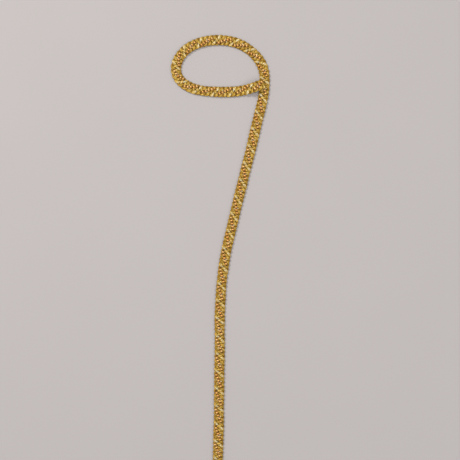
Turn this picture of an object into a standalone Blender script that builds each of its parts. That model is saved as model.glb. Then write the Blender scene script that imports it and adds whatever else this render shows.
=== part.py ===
"""Beaded gimp trim: a narrow plaited band of gold cords with slanted rows of beads.

The band lies flat on its back in one length. It starts at a cut end, runs round an oval
neck loop, passes under its own start and goes on as a long, gently curved tail.
Everything is in metres. The face with the beads points up, along +Z, and the band rests on
z = 0. Its route is drawn as seen from above, with X to the right and Y away.
"""

import math

import bpy
import numpy as np

# The band's own sizes. Its width is over the loops at its edges.
TRIM_WIDTH = 0.0132
BRAID_THICKNESS = 0.0024
BACK_WIDTH = 0.0112
EDGE_HEIGHT = 0.0012

# A strand of the plait comes back to its place after one repeat. Each strand passes over one and
# under one on its way across, so the strands cross on three lines along the band.
REPEAT = 0.021
STRANDS = 4
STRAND_RELIEF = 0.0006
LOOP_RELIEF = 0.0006
STATIONS_PER_REPEAT = 12
TOP_COLUMNS = 9
FIRST_CROSSING_STATION = 1

# Round beads, sunk a little between the strands: one slanted row in each repeat. The first row's
# first bead is cut off.
BEAD_DIAMETER = 0.0035
BEAD_CENTRE_HEIGHT = 0.0028
BEADS_PER_ROW = 5
FIRST_ROW_STATION = -1
BEAD_STEP_ALONG = 0.0034
BEAD_STEP_ACROSS = 0.0014
FIRST_BEAD_ACROSS = -0.0035

# The start of the band lies on the beads of the tail that it crosses.
LAP_LENGTH = 0.010
LAP_SLOPE_LENGTH = 0.019
LAP_GAP = 0.0003

# Columns: X and Y of the middle of the band, from the cut end at the neck to the end of the tail.
ROUTE = (
    (0.0490, 0.2178),
    (0.0408, 0.2141),
    (0.0288, 0.2106),
    (0.0144, 0.2086),
    (0.0000, 0.2080),
    (-0.0144, 0.2086),
    (-0.0276, 0.2102),
    (-0.0386, 0.2135),
    (-0.0474, 0.2190),
    (-0.0534, 0.2264),
    (-0.0557, 0.2356),
    (-0.0538, 0.2452),
    (-0.0479, 0.2546),
    (-0.0384, 0.2622),
    (-0.0252, 0.2676),
    (-0.0096, 0.2700),
    (0.0072, 0.2692),
    (0.0222, 0.2646),
    (0.0348, 0.2566),
    (0.0440, 0.2460),
    (0.0492, 0.2336),
    (0.0505, 0.2208),
    (0.0496, 0.2076),
    (0.0472, 0.1944),
    (0.0427, 0.1764),
    (0.0336, 0.1380),
    (0.0246, 0.1020),
    (0.0144, 0.0600),
    (0.0060, 0.0240),
    (0.0007, -0.0060),
    (-0.0022, -0.0360),
    (-0.0033, -0.0720),
    (-0.0035, -0.1140),
    (-0.0041, -0.1560),
    (-0.0046, -0.1980),
    (-0.0058, -0.2364),
    (-0.0082, -0.2772),
)

STATION_STEP = REPEAT / STATIONS_PER_REPEAT
FIRST_ROW = FIRST_ROW_STATION * STATION_STEP
CROSSING_PITCH = REPEAT / STRANDS
CROSSING_LINES_APART = CROSSING_PITCH / 2
FIRST_CROSSING = FIRST_CROSSING_STATION * STATION_STEP
COLUMN_STEP = CROSSING_LINES_APART / 2
BEAD_RADIUS = BEAD_DIAMETER / 2
LAP_HEIGHT = BEAD_CENTRE_HEIGHT + BEAD_RADIUS + LAP_GAP

GOLD = (0.72, 0.50, 0.16, 1.0)
GOLD_ROUGHNESS = 0.38
GOLD_METALLIC = 0.9
SHARP_ANGLE = math.radians(50)


def clear_scene():
    """Removes whatever the scene holds."""
    for old in list(bpy.data.objects):
        bpy.data.objects.remove(old, do_unlink=True)


def natural_spline(points, per_span=60):
    """A dense line on the natural cubic spline through the points, by the lengths of their chords."""
    chord = np.linalg.norm(np.diff(points, axis=0), axis=1)
    count = len(points)
    system = np.eye(count)
    right = np.zeros_like(points)
    for i in range(1, count - 1):
        before, after = chord[i - 1], chord[i]
        system[i, i - 1 : i + 2] = before, 2 * (before + after), after
        right[i] = 6 * ((points[i + 1] - points[i]) / after - (points[i] - points[i - 1]) / before)
    bend = np.linalg.solve(system, right)
    share = np.linspace(0, 1, per_span, endpoint=False)[:, None]
    spans = []
    for i, long in enumerate(chord):
        rest = 1 - share
        curve = points[i] * rest + points[i + 1] * share
        curve += long**2 / 6 * ((rest**3 - rest) * bend[i] + (share**3 - share) * bend[i + 1])
        spans.append(curve)
    return np.concatenate([*spans, points[-1:]])


def stations():
    """Distances along the band, and the flat points of its middle there, one station apart."""
    line = natural_spline(np.array(ROUTE))
    along = np.concatenate([[0], np.cumsum(np.linalg.norm(np.diff(line, axis=0), axis=1))])
    count = int(along[-1] / STATION_STEP) + 1
    distance = np.arange(count) * STATION_STEP
    middle = np.stack([np.interp(distance, along, line[:, k]) for k in (0, 1)], axis=1)
    return distance, middle


def lift(distance):
    """How high the band's back is: up on the tail's beads over the lap, then down to the floor."""
    share = np.clip((distance - LAP_LENGTH) / LAP_SLOPE_LENGTH, 0, 1)
    return LAP_HEIGHT * (1 - share * share * (3 - 2 * share))


def frames(distance, middle):
    """Points of the band's back line, with unit vectors to its left-hand side and up out of its face."""
    back = np.column_stack([middle, lift(distance)])
    forward = np.gradient(back, distance, axis=0)
    forward /= np.linalg.norm(forward, axis=1, keepdims=True)
    side = np.column_stack([-forward[:, 1], forward[:, 0], np.zeros(len(distance))])
    side /= np.linalg.norm(side, axis=1, keepdims=True)
    return back, side, np.cross(forward, side)


def plait_wave(distance, across):
    """1 where two strands cross or one turns back at an edge, and -1 halfway between two such places."""
    along_turn = 2 * math.pi * (distance - FIRST_CROSSING) / CROSSING_PITCH
    across_turn = math.pi * across / CROSSING_LINES_APART
    return math.cos(along_turn) * math.cos(across_turn)


def nearest_bead(distance, across):
    """How far a place on the band's face is from the middle of the nearest bead."""
    best = TRIM_WIDTH
    for bead in range(BEADS_PER_ROW):
        ahead = (distance - FIRST_ROW - bead * BEAD_STEP_ALONG + REPEAT / 2) % REPEAT - REPEAT / 2
        aside = across - (FIRST_BEAD_ACROSS + bead * BEAD_STEP_ACROSS)
        best = min(best, math.hypot(ahead, aside))
    return best


def face_height(distance, across):
    """Height of the band's face over its back: the plait, or the dome of a bead on it."""
    plait = BRAID_THICKNESS + STRAND_RELIEF / 2 * (plait_wave(distance, across) - 1)
    off = nearest_bead(distance, across)
    if off >= BEAD_RADIUS:
        return plait
    return max(plait, BEAD_CENTRE_HEIGHT + math.sqrt(BEAD_RADIUS**2 - off**2))


def columns(station):
    """Places across the face at a station, with the one nearest to a bead moved onto its middle."""
    places = [(column - TOP_COLUMNS // 2) * COLUMN_STEP for column in range(TOP_COLUMNS)]
    bead, between = divmod((station - FIRST_ROW_STATION) % STATIONS_PER_REPEAT, 2)
    if bead < BEADS_PER_ROW and not between:
        middle = FIRST_BEAD_ACROSS + bead * BEAD_STEP_ACROSS
        off = [abs(place - middle) for place in places]
        places[off.index(min(off))] = middle
    return places


def section(station, distance):
    """The band's section at a station: across and up, from its back's right-hand corner round to the left."""
    edge = TRIM_WIDTH / 2 + LOOP_RELIEF / 2 * (plait_wave(distance, 0.0) - 1)
    ring = [(-BACK_WIDTH / 2, 0.0), (-edge, EDGE_HEIGHT)]
    ring += [(across, face_height(distance, across)) for across in columns(station)]
    ring += [(edge, EDGE_HEIGHT), (BACK_WIDTH / 2, 0.0)]
    return ring


def band_mesh():
    """Vertices and faces of the whole band, centred over the origin and standing on z = 0."""
    distance, middle = stations()
    back, side, up = frames(distance, middle)
    vertices = []
    for station, at in enumerate(distance):
        for across, height in section(station, at):
            vertices.append(back[station] + across * side[station] + height * up[station])
    vertices = np.array(vertices)
    centre = (vertices.min(axis=0) + vertices.max(axis=0)) / 2
    vertices -= (centre[0], centre[1], 0.0)

    ring = TOP_COLUMNS + 4
    faces = []
    for station in range(len(distance) - 1):
        here, ahead = station * ring, (station + 1) * ring
        for k in range(ring):
            after = (k + 1) % ring
            corners = (here + k, ahead + k, ahead + after, here + after)
            if k == ring - 1:
                faces.append(corners)
            else:
                faces.append((corners[0], corners[1], corners[2]))
                faces.append((corners[0], corners[2], corners[3]))
    faces.append(tuple(range(ring)))
    last = (len(distance) - 1) * ring
    faces.append(tuple(last + k for k in reversed(range(ring))))
    return vertices, faces


def gold_material():
    """Gold metal foil wrapped on cord."""
    material = bpy.data.materials.new("gold_gimp")
    material.use_nodes = True
    shader = material.node_tree.nodes["Principled BSDF"]
    shader.inputs["Base Color"].default_value = GOLD
    shader.inputs["Roughness"].default_value = GOLD_ROUGHNESS
    shader.inputs["Metallic"].default_value = GOLD_METALLIC
    return material


def make_gimp_braid():
    """The one plaited band, with its rows of beads raised in its face."""
    vertices, faces = band_mesh()
    mesh = bpy.data.meshes.new("gimp_braid")
    mesh.from_pydata(vertices.tolist(), [], faces)
    mesh.shade_smooth()
    mesh.set_sharp_from_angle(angle=SHARP_ANGLE)
    mesh.materials.append(gold_material())
    braid = bpy.data.objects.new("gimp_braid", mesh)
    bpy.context.scene.collection.objects.link(braid)
    return braid


def main():
    """Clears the scene and builds the trim."""
    clear_scene()
    make_gimp_braid()


main()
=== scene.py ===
"""Looks of a beaded gimp trim: plaited cords, strung beads, a ground band and a plain studio.

Every shape is first worked out in the band's own space, as a distance along it, a distance across
it (positive on the left-hand side of the way along) and a height over its flat back. The Band class
then carries it onto the laid-out route. All sizes are in metres.
"""

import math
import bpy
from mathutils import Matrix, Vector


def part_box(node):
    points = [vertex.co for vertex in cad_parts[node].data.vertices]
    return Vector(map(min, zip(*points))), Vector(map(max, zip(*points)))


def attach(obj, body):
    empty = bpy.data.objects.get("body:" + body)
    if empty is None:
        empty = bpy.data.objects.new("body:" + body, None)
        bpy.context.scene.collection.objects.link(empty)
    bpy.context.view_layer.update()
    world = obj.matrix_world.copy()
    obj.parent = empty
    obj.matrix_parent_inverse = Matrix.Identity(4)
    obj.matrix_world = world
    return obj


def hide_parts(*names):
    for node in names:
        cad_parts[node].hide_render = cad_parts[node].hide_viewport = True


bl_info = {
    "name": "Beaded Gimp Trim",
    "version": (1, 0, 0),
    "blender": (4, 5, 0),
    "location": "View3D > Sidebar > Trim",
    "description": "Builds a beaded gimp trim from plaited cords and strung beads",
    "category": "Add Mesh",
}

import bpy
import numpy as np
from mathutils import Vector

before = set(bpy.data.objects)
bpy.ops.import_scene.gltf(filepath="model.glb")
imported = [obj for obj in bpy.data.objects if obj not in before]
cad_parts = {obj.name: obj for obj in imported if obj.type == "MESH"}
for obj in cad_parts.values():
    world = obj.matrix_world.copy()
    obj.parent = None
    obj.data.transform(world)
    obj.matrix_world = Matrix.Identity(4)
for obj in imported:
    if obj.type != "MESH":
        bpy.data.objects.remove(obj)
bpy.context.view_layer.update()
BAND_LOW, BAND_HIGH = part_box("gimp_braid")

TAU = 2 * math.pi
MM = 0.001

# Columns: X and Y of the middle of the band, from the cut end at the neck to the end of the tail.
ROUTE = (
    (0.0490, 0.2178),
    (0.0408, 0.2141),
    (0.0288, 0.2106),
    (0.0144, 0.2086),
    (0.0000, 0.2080),
    (-0.0144, 0.2086),
    (-0.0276, 0.2102),
    (-0.0386, 0.2135),
    (-0.0474, 0.2190),
    (-0.0534, 0.2264),
    (-0.0557, 0.2356),
    (-0.0538, 0.2452),
    (-0.0479, 0.2546),
    (-0.0384, 0.2622),
    (-0.0252, 0.2676),
    (-0.0096, 0.2700),
    (0.0072, 0.2692),
    (0.0222, 0.2646),
    (0.0348, 0.2566),
    (0.0440, 0.2460),
    (0.0492, 0.2336),
    (0.0505, 0.2208),
    (0.0496, 0.2076),
    (0.0472, 0.1944),
    (0.0427, 0.1764),
    (0.0336, 0.1380),
    (0.0246, 0.1020),
    (0.0144, 0.0600),
    (0.0060, 0.0240),
    (0.0007, -0.0060),
    (-0.0022, -0.0360),
    (-0.0033, -0.0720),
    (-0.0035, -0.1140),
    (-0.0041, -0.1560),
    (-0.0046, -0.1980),
    (-0.0058, -0.2364),
    (-0.0082, -0.2772),
)


def length_property(name, description, default):
    """A size in metres that a user may change."""
    return bpy.props.FloatProperty(
        name=name, description=description, default=default, unit="LENGTH", precision=5
    )


def share_property(name, description, default):
    """A plain number from 0 to 1 that a user may change."""
    return bpy.props.FloatProperty(
        name=name, description=description, default=default, min=0, max=1, subtype="FACTOR"
    )


def colour_property(name, description, default):
    """A linear colour that a user may change."""
    return bpy.props.FloatVectorProperty(
        name=name, description=description, default=default, size=3, min=0, max=1, subtype="COLOR"
    )


class BandSizes(bpy.types.PropertyGroup):
    """Sizes of the whole band and of how it is laid out."""

    width: length_property("Band width", "Over the loops at its edges", 0.0132)
    repeat: length_property("Repeat", "From one row of beads to the next", 0.021)
    ground_width: length_property("Ground width", "Width of the woven band in the plait", 0.0102)
    ground_thickness: length_property("Ground thickness", "Thickness of the woven band", 0.0003)
    ground_height: length_property("Ground height", "Underside of the woven band", 0.00005)
    lap_height: length_property("Lap height", "How high the lapped start lies on the tail", 0.00485)
    lap_length: length_property("Lap length", "How far the lapped start lies level", 0.010)
    lap_slope: length_property("Lap slope", "Length in which the start comes down again", 0.019)


class CordSizes(bpy.types.PropertyGroup):
    """Sizes of the cords in the plait."""

    strands: bpy.props.IntProperty(name="Strands", description="Strands in the plait", default=4)
    cords: bpy.props.IntProperty(name="Cords", description="Cords in a strand", default=3)
    width: length_property("Cord width", "Width of one cord", 0.00128)
    depth: length_property("Cord depth", "Thickness of one cord", 0.00112)
    spacing: length_property("Spacing", "Between a strand's cords, across the band", 0.00136)
    crown: length_property("Crown", "How far a strand's middle cord stands up", 0.0002)
    start: length_property("First strand", "Where a strand leaves the right-hand edge", 0.01225)
    reach: length_property("Reach", "From the band's middle to a strand at the edge", 0.0050)
    limit: length_property("Limit", "How far out the edge draws the outermost cords in", 0.0060)
    low: length_property("Low cords", "Middle of a cord that passes under another strand", 0.0009)
    high: length_property("High cords", "Middle of a cord that passes over another strand", 0.0020)
    squash: share_property("Squash", "How much the plait is pressed down under a row of beads", 0.4)
    plies: bpy.props.IntProperty(name="Plies", description="Threads twisted into a cord", default=3)
    lay: length_property("Lay", "Length of one full twist of the plies", 0.0054)
    relief: share_property("Ply relief", "Depth between the plies as a share of the cord", 0.07)


class BeadSizes(bpy.types.PropertyGroup):
    """Sizes of the beads and of the thread that they are strung on."""

    per_row: bpy.props.IntProperty(name="Beads", description="Beads in one slanted row", default=5)
    diameter: length_property("Bead diameter", "Across the hole's axis", 0.0035)
    length: length_property("Bead length", "Along the hole's axis", 0.0023)
    hole: length_property("Hole", "Diameter of the hole", 0.0011)
    height: length_property("Bead height", "Middle of a bead over the band's back", 0.0028)
    step_along: length_property("Step along", "From bead to bead along the band", 0.0034)
    step_across: length_property("Step across", "From bead to bead across the band", 0.0014)
    first_across: length_property("First bead across", "Place of a row's first bead", -0.0035)
    first_along: length_property("First bead along", "Place of the first row's start", -0.00175)
    thread: length_property("Thread", "Diameter of the thread", 0.0010)
    thread_low: length_property("Thread low", "Height of the thread between two rows", 0.0011)


class Finishes(bpy.types.PropertyGroup):
    """Colours of the metal-wrapped cords, the beads and the studio."""

    # The three golds are a ramp over the cords' tones, which carry painted highlight and painted
    # shade as well as tone that differs at random.
    gold_deep: colour_property("Deep gold", "Gold of the darker cords", (0.43, 0.24, 0.028))
    gold: colour_property("Gold", "Gold of most of the cords", (0.78, 0.54, 0.118))
    gold_pale: colour_property("Pale gold", "Gold of the brightest cords", (0.86, 0.81, 0.63))
    gold_shade: colour_property("Shaded gold", "Gold between the foil's turns", (0.10, 0.05, 0.008))
    copper_deep: colour_property("Deep copper", "Copper of the darker beads", (0.80, 0.36, 0.07))
    copper_pale: colour_property("Pale copper", "Copper of the brighter beads", (0.94, 0.61, 0.24))
    # The thread is dark so that it stands as painted shade between the beads.
    thread: colour_property("Thread", "Thread that the beads are strung on", (0.24, 0.10, 0.03))
    ground: colour_property("Ground", "Woven band inside the plait", (0.66, 0.42, 0.08))
    floor: colour_property("Floor", "Pale floor under the trim", (0.50, 0.455, 0.435))


class StudioSizes(bpy.types.PropertyGroup):
    """Place and reach of the camera, the floor and the lights."""

    aim: bpy.props.FloatVectorProperty(
        name="Aim", description="Point under the camera, in the route's drawing",
        default=(0.0090, 0.0426), size=2, unit="LENGTH",
    )
    field: length_property("Field", "Width of the floor that the camera sees", 0.552)
    floor: length_property("Floor", "Side of the floor", 6.0)


class Band:
    """The laid-out band: a smooth line through the route, with side and up directions along it."""

    line_step = 0.5 * MM
    spline_steps = 60
    # The band is a whole number of stations long, as its solid is.
    station = 1.75 * MM
    # Columns: how far it strays, over what length of the band, seed.
    width_slack = (0.025, 0.040, 1)
    side_slack = (0.15 * MM, 0.050, 2)
    pull_slack = (0.5 * MM, 0.060, 3)

    def __init__(self, sizes):
        line = natural_spline(np.array(ROUTE), self.spline_steps)
        reached = np.concatenate([[0], np.cumsum(np.linalg.norm(np.diff(line, axis=0), axis=1))])
        self.length = int(reached[-1] / self.station) * self.station
        self.along = np.append(np.arange(0, self.length, self.line_step), self.length)
        middle = np.column_stack([np.interp(self.along, reached, column) for column in line.T])
        landing = sizes.lap_length + sizes.lap_slope
        lift = sizes.lap_height * (1 - smooth_step(self.along, sizes.lap_length, landing))

        forward = np.gradient(np.column_stack([middle, lift]), self.along, axis=0)
        forward /= np.linalg.norm(forward, axis=1, keepdims=True)
        side = np.column_stack([-forward[:, 1], forward[:, 0], np.zeros(len(forward))])
        side /= np.linalg.norm(side, axis=1, keepdims=True)
        edges = np.concatenate([middle + hand * sizes.width / 2 * side[:, :2] for hand in (-1, 1)])
        here = (edges.min(axis=0) + edges.max(axis=0)) / 2
        self.shift = np.array((BAND_LOW + BAND_HIGH)[:2]) / 2 - here
        back = np.column_stack([middle + self.shift, lift])
        self.table = np.concatenate([back, side, np.cross(forward, side)], axis=1)

    def place(self, grid):
        """Back line's point + across x side direction + height x up direction, at each distance.

        The grid's points are along, across and height. They stray a little first, as in a band
        pulled by hand: along + pull, and across x (1 + width) + side.
        """
        along, across, height = grid[..., 0], grid[..., 1], grid[..., 2]
        across = across * (1 + stray(along, self.width_slack)) + stray(along, self.side_slack)
        along = along + stray(along, self.pull_slack)
        read = [np.interp(along, self.along, column) for column in self.table.T]
        back, side, up = (np.stack(read[k : k + 3], axis=-1) for k in (0, 3, 6))
        return back + across[..., None] * side + height[..., None] * up


def natural_spline(points, steps):
    """A dense line on the natural cubic spline through the points, by the lengths of their chords.

    At a share t of a chord c, with s = 1 - t: s p0 + t p1 + c^2 / 6 ((s^3 - s) b0 + (t^3 - t) b1).
    The bends b keep the spline's slope even from chord to chord, and are 0 at its ends.
    """
    chord = np.linalg.norm(np.diff(points, axis=0), axis=1)
    count = len(points)
    system = np.eye(count)
    right = np.zeros_like(points)
    for i in range(1, count - 1):
        before, after = chord[i - 1], chord[i]
        system[i, i - 1 : i + 2] = before, 2 * (before + after), after
        right[i] = 6 * ((points[i + 1] - points[i]) / after - (points[i] - points[i - 1]) / before)
    bend = np.linalg.solve(system, right)
    share = np.linspace(0, 1, steps, endpoint=False)[:, None]
    rest = 1 - share
    spans = [
        points[i] * rest + points[i + 1] * share
        + chord[i] ** 2 / 6 * ((rest**3 - rest) * bend[i] + (share**3 - share) * bend[i + 1])
        for i in range(count - 1)
    ]
    return np.concatenate([*spans, points[-1:]])


class Patches:
    """Grids of points that become one mesh, with a UV map and a tone for each point."""

    def __init__(self):
        self.count = 0
        self.points, self.corners, self.sizes, self.uvs, self.tones = [], [], [], [], []

    def add_tube(self, grid, along, tone):
        """A closed tube with capped ends: the grid's rows follow one another, and each is a ring.

        The UV is the row's distance in metres and the share of a turn round the ring.
        """
        rows, columns = grid.shape[:2]
        number = self.count + np.arange(rows * columns).reshape(rows, columns)
        ring = np.column_stack([number, number[:, 0]])
        turn = np.linspace(0, 1, columns + 1)
        uv = np.stack(np.broadcast_arrays(along[:, None], turn[None, :]), axis=-1)
        self.add_quads(ring, uv)
        for cap, at in ((number[0, ::-1], along[0]), (number[-1], along[-1])):
            self.corners.append(cap)
            self.sizes.append(np.array([columns]))
            self.uvs.append(np.tile([at, 0.0], (columns, 1)))
        self.add_points(grid, np.broadcast_to(tone[:, None], (rows, columns)))

    def add_ring(self, grid, tone):
        """A closed ring, such as a bead: both the grid's rows and its columns close up."""
        rows, columns = grid.shape[:2]
        number = self.count + np.arange(rows * columns).reshape(rows, columns)
        number = np.pad(number, ((0, 1), (0, 1)), mode="wrap")
        turns = np.linspace(0, 1, rows + 1), np.linspace(0, 1, columns + 1)
        shares = np.meshgrid(*turns, indexing="ij")
        self.add_quads(number, np.stack(shares, axis=-1))
        self.add_points(grid, np.full((rows, columns), tone))

    def add_quads(self, number, uv):
        """Quads between the neighbouring rows and columns of a grid of point numbers."""
        for values, kept in ((number, self.corners), (uv, self.uvs)):
            quad = (values[:-1, :-1], values[:-1, 1:], values[1:, 1:], values[1:, :-1])
            kept.append(np.stack(quad, axis=2).reshape((-1,) + values.shape[2:]))
        self.sizes.append(np.full((number.shape[0] - 1) * (number.shape[1] - 1), 4))

    def add_points(self, grid, tone):
        """The grid's points, each with its tone."""
        self.points.append(grid.reshape(-1, 3))
        self.tones.append(tone.ravel())
        self.count += tone.size

    def piece(self, name, material, sharp):
        """One object of all the grids, riding on the part. Edges over the sharp angle stay sharp."""
        corners, sizes = np.concatenate(self.corners), np.concatenate(self.sizes)
        mesh = bpy.data.meshes.new(name)
        mesh.vertices.add(self.count)
        mesh.vertices.foreach_set("co", np.concatenate(self.points).astype(np.float32).ravel())
        mesh.loops.add(len(corners))
        mesh.loops.foreach_set("vertex_index", corners.astype(np.int32))
        mesh.polygons.add(len(sizes))
        mesh.polygons.foreach_set("loop_start", (np.cumsum(sizes) - sizes).astype(np.int32))
        mesh.update(calc_edges=True)
        uv_map = mesh.uv_layers.new(name="surface")
        uv_map.data.foreach_set("uv", np.concatenate(self.uvs).astype(np.float32).ravel())
        tone = mesh.attributes.new("tone", "FLOAT", "POINT")
        tone.data.foreach_set("value", np.concatenate(self.tones).astype(np.float32))
        mesh.shade_smooth()
        mesh.set_sharp_from_angle(angle=math.radians(sharp))
        mesh.materials.append(material)
        made = bpy.data.objects.new(name, mesh)
        bpy.context.scene.collection.objects.link(made)
        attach(made, "root")
        return made


def stray(distance, slack, number=0):
    """A smooth wavering up to about the slack's amount: 1.6 x amount x the mean of five sines.

    The slack is an amount, a length and a seed. The sines have lengths near its length, and each
    has its own phase.
    """
    amount, length, seed = slack
    random = np.random.default_rng(seed + number)
    lengths = length * random.uniform(0.6, 1.9, 5)
    phases = random.uniform(0, TAU, 5)
    sines = np.sin(TAU * np.asarray(distance)[..., None] / lengths + phases)
    return 1.6 * amount * sines.mean(axis=-1)


def zigzag(phase):
    """A sine's beat drawn almost straight: arcsin(k sin phase) / arcsin k, with k under 1."""
    straight = 0.75
    return np.arcsin(straight * np.sin(phase)) / math.asin(straight)


def over_under(phase):
    """How high a strand runs, from -1 to 1: over, under and over on its way across, and the other
    way about on its way back.

    The wave is tanh(k cos turn) / tanh k. The turn grows by half a circle from each crossing to the
    next. Crossings are an eighth of a repeat apart, and a quarter where an edge lies between them.
    """
    crossings = np.array([0, 1, 2, 4, 5, 6, 8]) * TAU / 8
    turn = np.interp((phase - TAU / 8) % TAU, crossings, np.arange(7) * math.pi)
    flat = 1.6
    return np.tanh(flat * np.cos(turn)) / math.tanh(flat)


def drawn_in(across, limit):
    """Kept where small and held under the limit where large: x / (1 + (x / limit)^8)^(1/8)."""
    hard = 8
    return across / (1 + np.abs(across / limit) ** hard) ** (1 / hard)


def smooth_step(value, low, high):
    """0 under low, 1 over high, and an even curve 3 t^2 - 2 t^3 between them."""
    share = np.clip((value - low) / (high - low), 0, 1)
    return share * share * (3 - 2 * share)


def row_groove(along, across, beads, repeat):
    """exp(-(d / r)^2), with d the distance to the nearest row of beads and r a bead's radius."""
    steps = beads.per_row - 1
    run = np.array([steps * beads.step_along, steps * beads.step_across])
    from_middle = along - beads.first_along - run[0] / 2
    ahead = (from_middle + repeat / 2) % repeat - repeat / 2 + run[0] / 2
    aside = across - beads.first_across
    share = np.clip((ahead * run[0] + aside * run[1]) / (run @ run), 0, 1)
    off = np.hypot(ahead - share * run[0], aside - share * run[1])
    return np.exp(-((off / (beads.diameter / 2)) ** 2))


def tube(path, width, depth, sides, swell):
    """Rings round a path: path + swell / 2 x (cos a x width x level + sin a x depth x upward).

    The swell is a grid of factors, rows by sides. Level is square to the path and to the band's up
    direction, and upward is square to the path and to level.
    """
    forward = np.gradient(path, axis=0)
    forward /= np.linalg.norm(forward, axis=1, keepdims=True)
    level = np.cross(np.array([0.0, 0.0, 1.0]), forward)
    level /= np.linalg.norm(level, axis=1, keepdims=True)
    upward = np.cross(forward, level)
    angle = np.arange(sides) * TAU / sides
    ring = (
        np.cos(angle)[None, :, None] * width / 2 * level[:, None]
        + np.sin(angle)[None, :, None] * depth / 2 * upward[:, None]
    )
    return path[:, None] + ring * swell[..., None]


def path_length(path):
    """Distance along a path of points, from its start."""
    return np.concatenate([[0], np.cumsum(np.linalg.norm(np.diff(path, axis=0), axis=1))])


class Term:
    """A number that varies over a surface. An expression on it adds Math nodes."""

    def __init__(self, finish, output):
        self.finish = finish
        self.output = output

    def joined(self, operation, *values):
        """What a Math node makes of the values."""
        settings = {"operation": operation}
        return self.finish.node("ShaderNodeMath", settings, dict(enumerate(values)))

    def __add__(self, other):
        return self.joined("ADD", self, other)

    def __radd__(self, other):
        return self.joined("ADD", other, self)

    def __sub__(self, other):
        return self.joined("SUBTRACT", self, other)

    def __rsub__(self, other):
        return self.joined("SUBTRACT", other, self)

    def __mul__(self, other):
        return self.joined("MULTIPLY", self, other)

    def __rmul__(self, other):
        return self.joined("MULTIPLY", other, self)

    def __pow__(self, other):
        return self.joined("POWER", self, other)

    def __rpow__(self, other):
        return self.joined("POWER", other, self)

    def wave(self):
        """The term's sine, from 0 to 1: sin x / 2 + 1 / 2."""
        return self.joined("SINE", self) * 0.5 + 0.5


class Finish:
    """A material's node tree round one Principled shader."""

    def __init__(self, name):
        self.material = bpy.data.materials.new(name)
        self.material.use_nodes = True
        self.tree = self.material.node_tree
        self.shader = self.tree.nodes["Principled BSDF"]

    def node(self, kind, settings=None, inputs=None, output=0):
        """Adds a node: first its settings, a ramp's stops among them, then its sockets' inputs."""
        made = self.tree.nodes.new(kind)
        for key, value in (settings or {}).items():
            if key == "stops":
                ramp = made.color_ramp
                for spare in range(len(ramp.elements) - 1):
                    ramp.elements.remove(ramp.elements[-1])
                ramp.elements[0].position, ramp.elements[0].color = value[0]
                for position, colour in value[1:]:
                    ramp.elements.new(position).color = colour
            else:
                setattr(made, key, value)
        for key, value in (inputs or {}).items():
            self.feed(made.inputs[key], value)
        return Term(self, made.outputs[output])

    def feed(self, socket, value):
        """Gives a socket a link from a Term, or a plain value."""
        if isinstance(value, Term):
            self.tree.links.new(value.output, socket)
        elif socket.type == "RGBA" and len(value) == 3:
            socket.default_value = (*value, 1.0)
        else:
            socket.default_value = value

    def mix(self, share, first, second):
        """The colour first where share is 0, and second where it is 1."""
        settings = {"data_type": "RGBA"}
        return self.node("ShaderNodeMix", settings, {0: share, 6: first, 7: second}, output=2)

    def surface_map(self):
        """The piece's own UV map, as a distance along and a share of a turn."""
        uv = self.node("ShaderNodeUVMap", {"uv_map": "surface"})
        return [self.node("ShaderNodeSeparateXYZ", {}, {0: uv}, output=k) for k in (0, 1)]

    def tone(self):
        """The tone that the piece's points carry, from 0 for dark to 1 for pale."""
        return self.node("ShaderNodeAttribute", {"attribute_name": "tone"}, output="Fac")

    def mottle(self, scale, detail):
        """Noise on the object's own coordinates."""
        place = self.node("ShaderNodeTexCoord", output="Object")
        inputs = {"Vector": place, "Scale": scale, "Detail": detail}
        return self.node("ShaderNodeTexNoise", {}, inputs)

    def bump(self, height, depth, strength):
        """Normals from a height of 0 to 1 that stands for that depth."""
        inputs = {"Height": height, "Distance": depth, "Strength": strength}
        return self.node("ShaderNodeBump", {}, inputs)

    def set(self, **sockets):
        """Inputs for the shader's sockets, with a low line for each space in their names."""
        for name, value in sockets.items():
            self.feed(self.shader.inputs[name.replace("_", " ")], value)
        return self.material


def gold_finish(name, colours):
    """Gold foil wound on the cord's plies: fine turns round it, and brighter and duller stretches.

    The seam between two turns of foil is (1 - wound)^3, and wound is a wave with one beat a turn.
    """
    foil_turn = 0.34 * MM
    uneven, seam_shade = 0.5, 0.55
    finish = Finish(name)
    along, turn = finish.surface_map()
    wound = (along * (TAU / foil_turn) + turn * TAU).wave()
    mottle = finish.mottle(scale=520, detail=3)
    # The deep and pale ends of this ramp also serve as painted shade and painted highlight, through
    # the cords' tones.
    golds = (colours.gold_deep, colours.gold, colours.gold_pale)
    stops = [(position, (*gold, 1)) for position, gold in zip((0.0, 0.5, 1.0), golds)]
    tone = finish.tone() + (mottle - 0.5) * uneven
    gold = finish.node("ShaderNodeValToRGB", {"stops": stops}, {0: tone})
    seam = (1 - wound) ** 3 * seam_shade
    return finish.set(
        Base_Color=finish.mix(seam, gold, tuple(colours.gold_shade)),
        Metallic=0.92,
        Roughness=0.40 + mottle * 0.2,
        Normal=finish.bump(wound, depth=0.05 * MM, strength=0.5),
    )


def copper_finish(name, colours):
    """A glossy copper coat on beads, each a little lighter or darker than the next."""
    uneven = 0.3
    finish = Finish(name)
    mottle = finish.mottle(scale=900, detail=2)
    tone = finish.tone() + (mottle - 0.5) * uneven
    return finish.set(
        Base_Color=finish.mix(tone, tuple(colours.copper_deep), tuple(colours.copper_pale)),
        Metallic=0.9,
        Roughness=0.40 + mottle * 0.15,
        Normal=finish.bump(mottle, depth=0.04 * MM, strength=0.3),
    )


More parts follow.
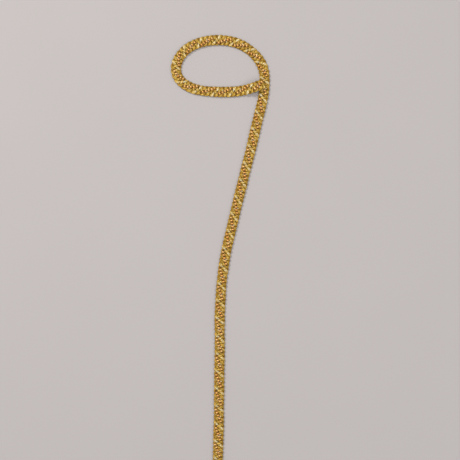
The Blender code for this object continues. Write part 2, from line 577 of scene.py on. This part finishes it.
def thread_finish(name, colours):
    """A twisted thread with a slight shine, dark so that it also stands as painted shade in the gaps
    between the beads.
    """
    lay, ply_count, shade = 0.8 * MM, 2, 0.4
    finish = Finish(name)
    along, turn = finish.surface_map()
    plies = (along * (TAU / lay) + turn * (ply_count * TAU)).wave()
    dark = tuple(channel * shade for channel in colours.thread)
    return finish.set(
        Base_Color=finish.mix(plies, dark, tuple(colours.thread)),
        Metallic=0.3,
        Roughness=0.4 + plies * 0.1,
        Normal=finish.bump(plies, depth=0.06 * MM, strength=0.6),
    )


def ground_finish(name, colours):
    """A dull woven band: threads along it and across it."""
    weft_pitch, warp_threads, shade = 0.5 * MM, 44, 0.5
    finish = Finish(name)
    along, turn = finish.surface_map()
    weave = (along * (TAU / weft_pitch)).wave() * (turn * (TAU * warp_threads)).wave()
    dark = tuple(channel * shade for channel in colours.ground)
    return finish.set(
        Base_Color=finish.mix(weave, dark, tuple(colours.ground)),
        Metallic=0.5,
        Roughness=0.6 + weave * 0.2,
        Normal=finish.bump(weave, depth=0.08 * MM, strength=0.6),
    )


def floor_finish(name, colours):
    """A plain matte floor with the faintest mottle."""
    shade = 0.97
    finish = Finish(name)
    mottle = finish.mottle(scale=9, detail=2)
    dark = tuple(channel * shade for channel in colours.floor)
    return finish.set(Base_Color=finish.mix(mottle, dark, tuple(colours.floor)), Roughness=0.9)


class TRIM_OT_cords(bpy.types.Operator):
    """Plaits four strands of gold cords, pressed down under the rows of beads."""

    bl_idname = "trim.cords"
    bl_label = "Plait the cords"
    steps_per_repeat = 60
    sides = 10
    sharp = 60
    # On the average, a cord is narrower than its stated width by this share of its ply relief.
    narrowing = 0.4
    # Columns: how far it strays, over what length of the cord, first seed.
    strand_slack = (0.28 * MM, 0.019, 100)
    cord_slack = (0.08 * MM, 0.013, 0)
    reach_slack = (0.15 * MM, 0.012, 200)
    height_slack = (0.06 * MM, 0.008, 300)
    tone_slack = (0.18, 0.006, 400)
    # A cord's share of its tone halfway up, and what it gains when over and loses when under: a
    # painted highlight on the cords on top and painted shade on the cords beneath.
    level_tone, rising_tone = 0.7, 0.3
    # The tone falls by the loss between these distances from the band's middle.
    edge_start, edge_end, edge_loss = 2.6 * MM, 5.2 * MM, 0.24
    # Rows: the strands. Columns: the tones of their cords, from the right-hand side. These tones are
    # painted light and shade: across each strand the cords are lighter and darker as painted
    # highlight and shade on its round, the first strand is pale with painted glints, and the last is
    # darker with painted shade.
    tones = (
        (0.62, 0.90, 0.78),
        (0.34, 0.50, 0.44),
        (0.36, 0.56, 0.50),
        (0.22, 0.36, 0.30),
    )

    def execute(self, context):
        scene = context.scene
        band = Band(scene.trim_band)
        finish = gold_finish("gold_cord", scene.trim_finishes)
        for strand in range(scene.trim_cords.strands):
            patches = Patches()
            for cord in range(scene.trim_cords.cords):
                self.add_cord(patches, band, scene, strand, cord)
            patches.piece(f"plait_strand_{strand}", finish, self.sharp)
        return {"FINISHED"}

    def add_cord(self, patches, band, scene, strand, cord):
        """Across = reach x zigzag(phase) + shift, and height = middle + half x over_under(phase).

        The phase grows by a turn in each repeat. A strand's cords lie side by side by their shifts,
        so they bend round each edge together, one inside the other. The rings swell by
        1 + relief x (cos(plies x (angle - twist)) - narrowing), and lie lower under a row of beads.
        """
        sizes, repeat = scene.trim_cords, scene.trim_band.repeat
        along = np.linspace(0, band.length, int(band.length / repeat * self.steps_per_repeat))
        number = 10 * strand + cord
        loose = stray(along, self.strand_slack, strand) + stray(along, self.cord_slack, number)
        from_middle = cord - (sizes.cords - 1) / 2
        start = sizes.start + strand * repeat / sizes.strands
        phase = TAU * (along + loose - start) / repeat
        reach = sizes.reach + stray(along, self.reach_slack, strand)
        shift = from_middle * sizes.spacing
        across = drawn_in(reach * zigzag(phase - TAU / 4) + shift, sizes.limit)
        over = over_under(phase)
        middle, half = (sizes.high + sizes.low) / 2, (sizes.high - sizes.low) / 2
        height = middle + half * over + stray(along, self.height_slack, number)
        if from_middle == 0:
            height += sizes.crown * (0.5 + 0.5 * over)
        path = np.column_stack([along, across, height])
        length = path_length(path)
        angle = np.arange(self.sides) * TAU / self.sides
        twist = TAU * length / sizes.lay + number
        plies = np.cos(sizes.plies * (angle[None, :] - twist[:, None]))
        swell = 1 + sizes.relief * (plies - self.narrowing)
        grid = tube(path, sizes.width, sizes.depth, self.sides, swell)
        groove = row_groove(grid[..., 0], grid[..., 1], scene.trim_beads, repeat)
        grid[..., 2] *= 1 - sizes.squash * groove
        # Painted highlight and painted shade: brighter where the cord passes over, darker where it
        # passes under.
        tone = self.tones[strand][cord] * (self.level_tone + self.rising_tone * over)
        tone += stray(length, self.tone_slack, number)
        tone -= self.edge_loss * smooth_step(np.abs(across), self.edge_start, self.edge_end)
        patches.add_tube(band.place(grid), length, tone)


class TRIM_OT_beads(bpy.types.Operator):
    """Strings round beads in slanted rows on a thread that dips between the rows."""

    bl_idname = "trim.beads"
    bl_label = "String the beads"
    around = 14
    profile_points = 6
    bead_sharp = 180
    thread_sides = 8
    thread_steps = 36
    thread_sharp = 60
    seed = 5
    # How unlike one another the rows and the beads are: standard deviations.
    row_slip = 0.35 * MM
    bead_turn = math.radians(4)
    bead_growth = 0.03
    # The least and the greatest tone of a bead, and the thread's.
    bead_tones = (0.2, 0.9)
    thread_tone = 0.1
    # The thread's way into its row, as a share of a bead's length, and the length of its slopes.
    lead_share = 0.6
    dip_length = 1.6 * MM
    # How far the thread and its beads stray to a side, over what length of the band, seed.
    side_slack = (0.25 * MM, 0.024, 4)

    def execute(self, context):
        scene = context.scene
        band = Band(scene.trim_band)
        self.add_beads(band, scene)
        self.add_thread(band, scene)
        return {"FINISHED"}

    def add_beads(self, band, scene):
        """Each bead's points: centre + x x axis + r x (cos a x side + sin a x up).

        x and r follow half a circle as wide as the bead is long, set out from the axis so that the
        bead has its diameter, and r is nowhere less than the hole's.
        """
        sizes, repeat = scene.trim_beads, scene.trim_band.repeat
        random = np.random.default_rng(self.seed)
        patches = Patches()
        rows = int(band.length / repeat) + 1
        radius = sizes.length / 2
        arc = np.linspace(-0.5, 0.5, self.profile_points) * math.pi
        spare = sizes.diameter / 2 - radius
        x, r = radius * np.sin(arc), spare + radius * np.cos(arc)
        r = np.maximum(r, sizes.hole / 2)
        angle = np.arange(self.around) * TAU / self.around
        slant = math.atan2(sizes.step_across, sizes.step_along)
        for row in range(rows):
            slip = random.normal(0, self.row_slip)
            for bead in range(sizes.per_row):
                turn, grow = random.normal(0, (self.bead_turn, self.bead_growth), 2)
                ahead = slip + bead * sizes.step_along
                along = sizes.first_along + row * repeat + ahead
                if not radius < along < band.length - radius:
                    continue
                across = sizes.first_across + ahead * sizes.step_across / sizes.step_along
                across += stray(along, self.side_slack)
                heading = slant + turn
                axis = np.array([math.cos(heading), math.sin(heading), 0])
                side = np.array([-axis[1], axis[0], 0])
                up = np.array([0.0, 0.0, 1.0])
                spoke = np.cos(angle)[:, None] * side + np.sin(angle)[:, None] * up
                grid = x[:, None, None] * axis + r[:, None, None] * spoke
                grid = grid * (1 + grow) + np.array([along, across, sizes.height])
                patches.add_ring(band.place(grid), random.uniform(*self.bead_tones))
        finish = copper_finish("copper_bead", scene.trim_finishes)
        patches.piece("copper_beads", finish, self.bead_sharp)

    def add_thread(self, band, scene):
        """The thread runs straight along a row, and back to the next one under the plait.

        Across = first + ahead x slope in the row, and then an even step back. Height = the beads'
        height + (low height - the beads' height) x an even step down and an even step up.
        """
        sizes, repeat = scene.trim_beads, scene.trim_band.repeat
        run = (sizes.per_row - 1) * sizes.step_along
        lead = self.lead_share * sizes.length
        along = np.linspace(0, band.length, int(band.length / repeat * self.thread_steps))
        ahead = (along - sizes.first_along + lead) % repeat - lead
        slope = sizes.step_across / sizes.step_along
        rising = sizes.first_across + ahead * slope
        low, high = run + lead, repeat - lead
        back = smooth_step(ahead, low, high)
        falling = sizes.first_across + slope * (low * (1 - back) - lead * back)
        across = np.where(ahead < low, rising, falling) + stray(along, self.side_slack)
        down = smooth_step(ahead, low, low + self.dip_length)
        up = smooth_step(ahead, high - self.dip_length, high)
        height = sizes.height + (sizes.thread_low - sizes.height) * down * (1 - up)
        path = np.column_stack([along, across, height])
        even = np.ones((len(path), self.thread_sides))
        grid = tube(path, sizes.thread, sizes.thread, self.thread_sides, even)
        patches = Patches()
        tone = np.full(len(path), self.thread_tone)
        patches.add_tube(band.place(grid), path_length(path), tone)
        finish = thread_finish("bead_thread", scene.trim_finishes)
        patches.piece("bead_thread", finish, self.thread_sharp)


class TRIM_OT_ground(bpy.types.Operator):
    bl_idname = "trim.ground"
    bl_label = "Lay the ground band"
    row_step = 2 * MM
    columns = 7
    sharp = 40
    tone = 0.5

    def execute(self, context):
        """A thin oblong section carried along the band: out along its underside and back on top."""
        scene = context.scene
        sizes = scene.trim_band
        band = Band(sizes)
        rows = int(band.length / self.row_step)
        along = np.linspace(0, band.length, rows)
        under = np.linspace(-1, 1, self.columns) * sizes.ground_width / 2
        across = np.concatenate([under, under[::-1]])
        height = np.repeat([0, sizes.ground_thickness], self.columns) + sizes.ground_height
        places = np.broadcast_arrays(along[:, None], across[None, :], height[None, :])
        patches = Patches()
        patches.add_tube(band.place(np.stack(places, axis=-1)), along, np.full(rows, self.tone))
        finish = ground_finish("ground_weave", scene.trim_finishes)
        made = patches.piece("ground_band", finish, self.sharp)
        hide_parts("gimp_braid")
        return {"FINISHED"}


class TRIM_OT_studio(bpy.types.Operator):
    """Makes the floor, the soft lights, the even surroundings and the camera straight above."""

    bl_idname = "trim.studio"
    bl_label = "Light the studio"
    lens = 85.0
    sensor = 36.0
    surroundings = (0.80, 0.83, 0.88)
    surroundings_strength = 0.50
    # Columns: name, place, side of the square light, power in watts.
    lights = (
        ("key_light", (-1.30, 1.30, 1.60), 0.55, 31.0),
        ("overhead_light", (0.10, 0.05, 2.60), 0.90, 18.0),
        ("fill_light", (1.50, -0.55, 1.60), 0.95, 9.0),
    )

    def execute(self, context):
        scene = context.scene
        self.make_floor(scene)
        for name, place, side, power in self.lights:
            self.make_light(scene, name, place, side, power)
        self.make_world(scene)
        self.make_camera(scene)
        return {"FINISHED"}

    def make_floor(self, scene):
        """A square floor round the origin, as the stage."""
        half = scene.trim_studio.floor / 2
        corners = [(-half, -half, 0), (half, -half, 0), (half, half, 0), (-half, half, 0)]
        mesh = bpy.data.meshes.new("studio_floor")
        mesh.from_pydata(corners, [], [(0, 1, 2, 3)])
        mesh.materials.append(floor_finish("studio_floor", scene.trim_finishes))
        floor = bpy.data.objects.new("studio_floor", mesh)
        scene.collection.objects.link(floor)
        floor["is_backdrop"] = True

    def make_light(self, scene, name, place, side, power):
        """A square light that shines on the origin."""
        light = bpy.data.lights.new(name, "AREA")
        light.shape = "SQUARE"
        light.size = side
        light.energy = power
        lamp = bpy.data.objects.new(name, light)
        lamp.location = place
        lamp.rotation_euler = (-Vector(place)).to_track_quat("-Z", "Y").to_euler()
        scene.collection.objects.link(lamp)

    def make_world(self, scene):
        """Even light from all round."""
        world = bpy.data.worlds.new("studio_surroundings")
        world.use_nodes = True
        background = world.node_tree.nodes["Background"]
        background.inputs["Color"].default_value = (*self.surroundings, 1.0)
        background.inputs["Strength"].default_value = self.surroundings_strength
        scene.world = world

    def make_camera(self, scene):
        """A camera over the aim, as high as it takes to see the field's width."""
        studio = scene.trim_studio
        shift = Band(scene.trim_band).shift
        view = bpy.data.cameras.new("camera")
        view.lens = self.lens
        view.sensor_width = self.sensor
        camera = bpy.data.objects.new("camera", view)
        height = studio.field * self.lens / self.sensor
        camera.location = (studio.aim[0] + shift[0], studio.aim[1] + shift[1], height)
        scene.collection.objects.link(camera)
        scene.camera = camera
        scene.view_settings.view_transform = "Standard"


class TRIM_PT_panel(bpy.types.Panel):
    """Lists the trim's steps in the sidebar."""

    bl_idname = "TRIM_PT_panel"
    bl_label = "Beaded gimp trim"
    bl_space_type = "VIEW_3D"
    bl_region_type = "UI"
    bl_category = "Trim"

    def draw(self, context):
        for step in STEPS:
            self.layout.operator(step.bl_idname)


STEPS = (TRIM_OT_cords, TRIM_OT_beads, TRIM_OT_ground, TRIM_OT_studio)
SETTINGS = {
    "trim_band": BandSizes,
    "trim_cords": CordSizes,
    "trim_beads": BeadSizes,
    "trim_finishes": Finishes,
    "trim_studio": StudioSizes,
}


def register():
    """Registers the settings, the operators and the panel."""
    for name, group in SETTINGS.items():
        bpy.utils.register_class(group)
        setattr(bpy.types.Scene, name, bpy.props.PointerProperty(type=group))
    for step in STEPS + (TRIM_PT_panel,):
        bpy.utils.register_class(step)


def unregister():
    """Takes back what register made."""
    for step in (TRIM_PT_panel,) + STEPS[::-1]:
        bpy.utils.unregister_class(step)
    for name, group in SETTINGS.items():
        delattr(bpy.types.Scene, name)
        bpy.utils.unregister_class(group)


def main():
    """Builds the trim and its studio."""
    register()
    bpy.ops.trim.cords()
    bpy.ops.trim.beads()
    bpy.ops.trim.ground()
    bpy.ops.trim.studio()


if __name__ == "__main__":
    main()
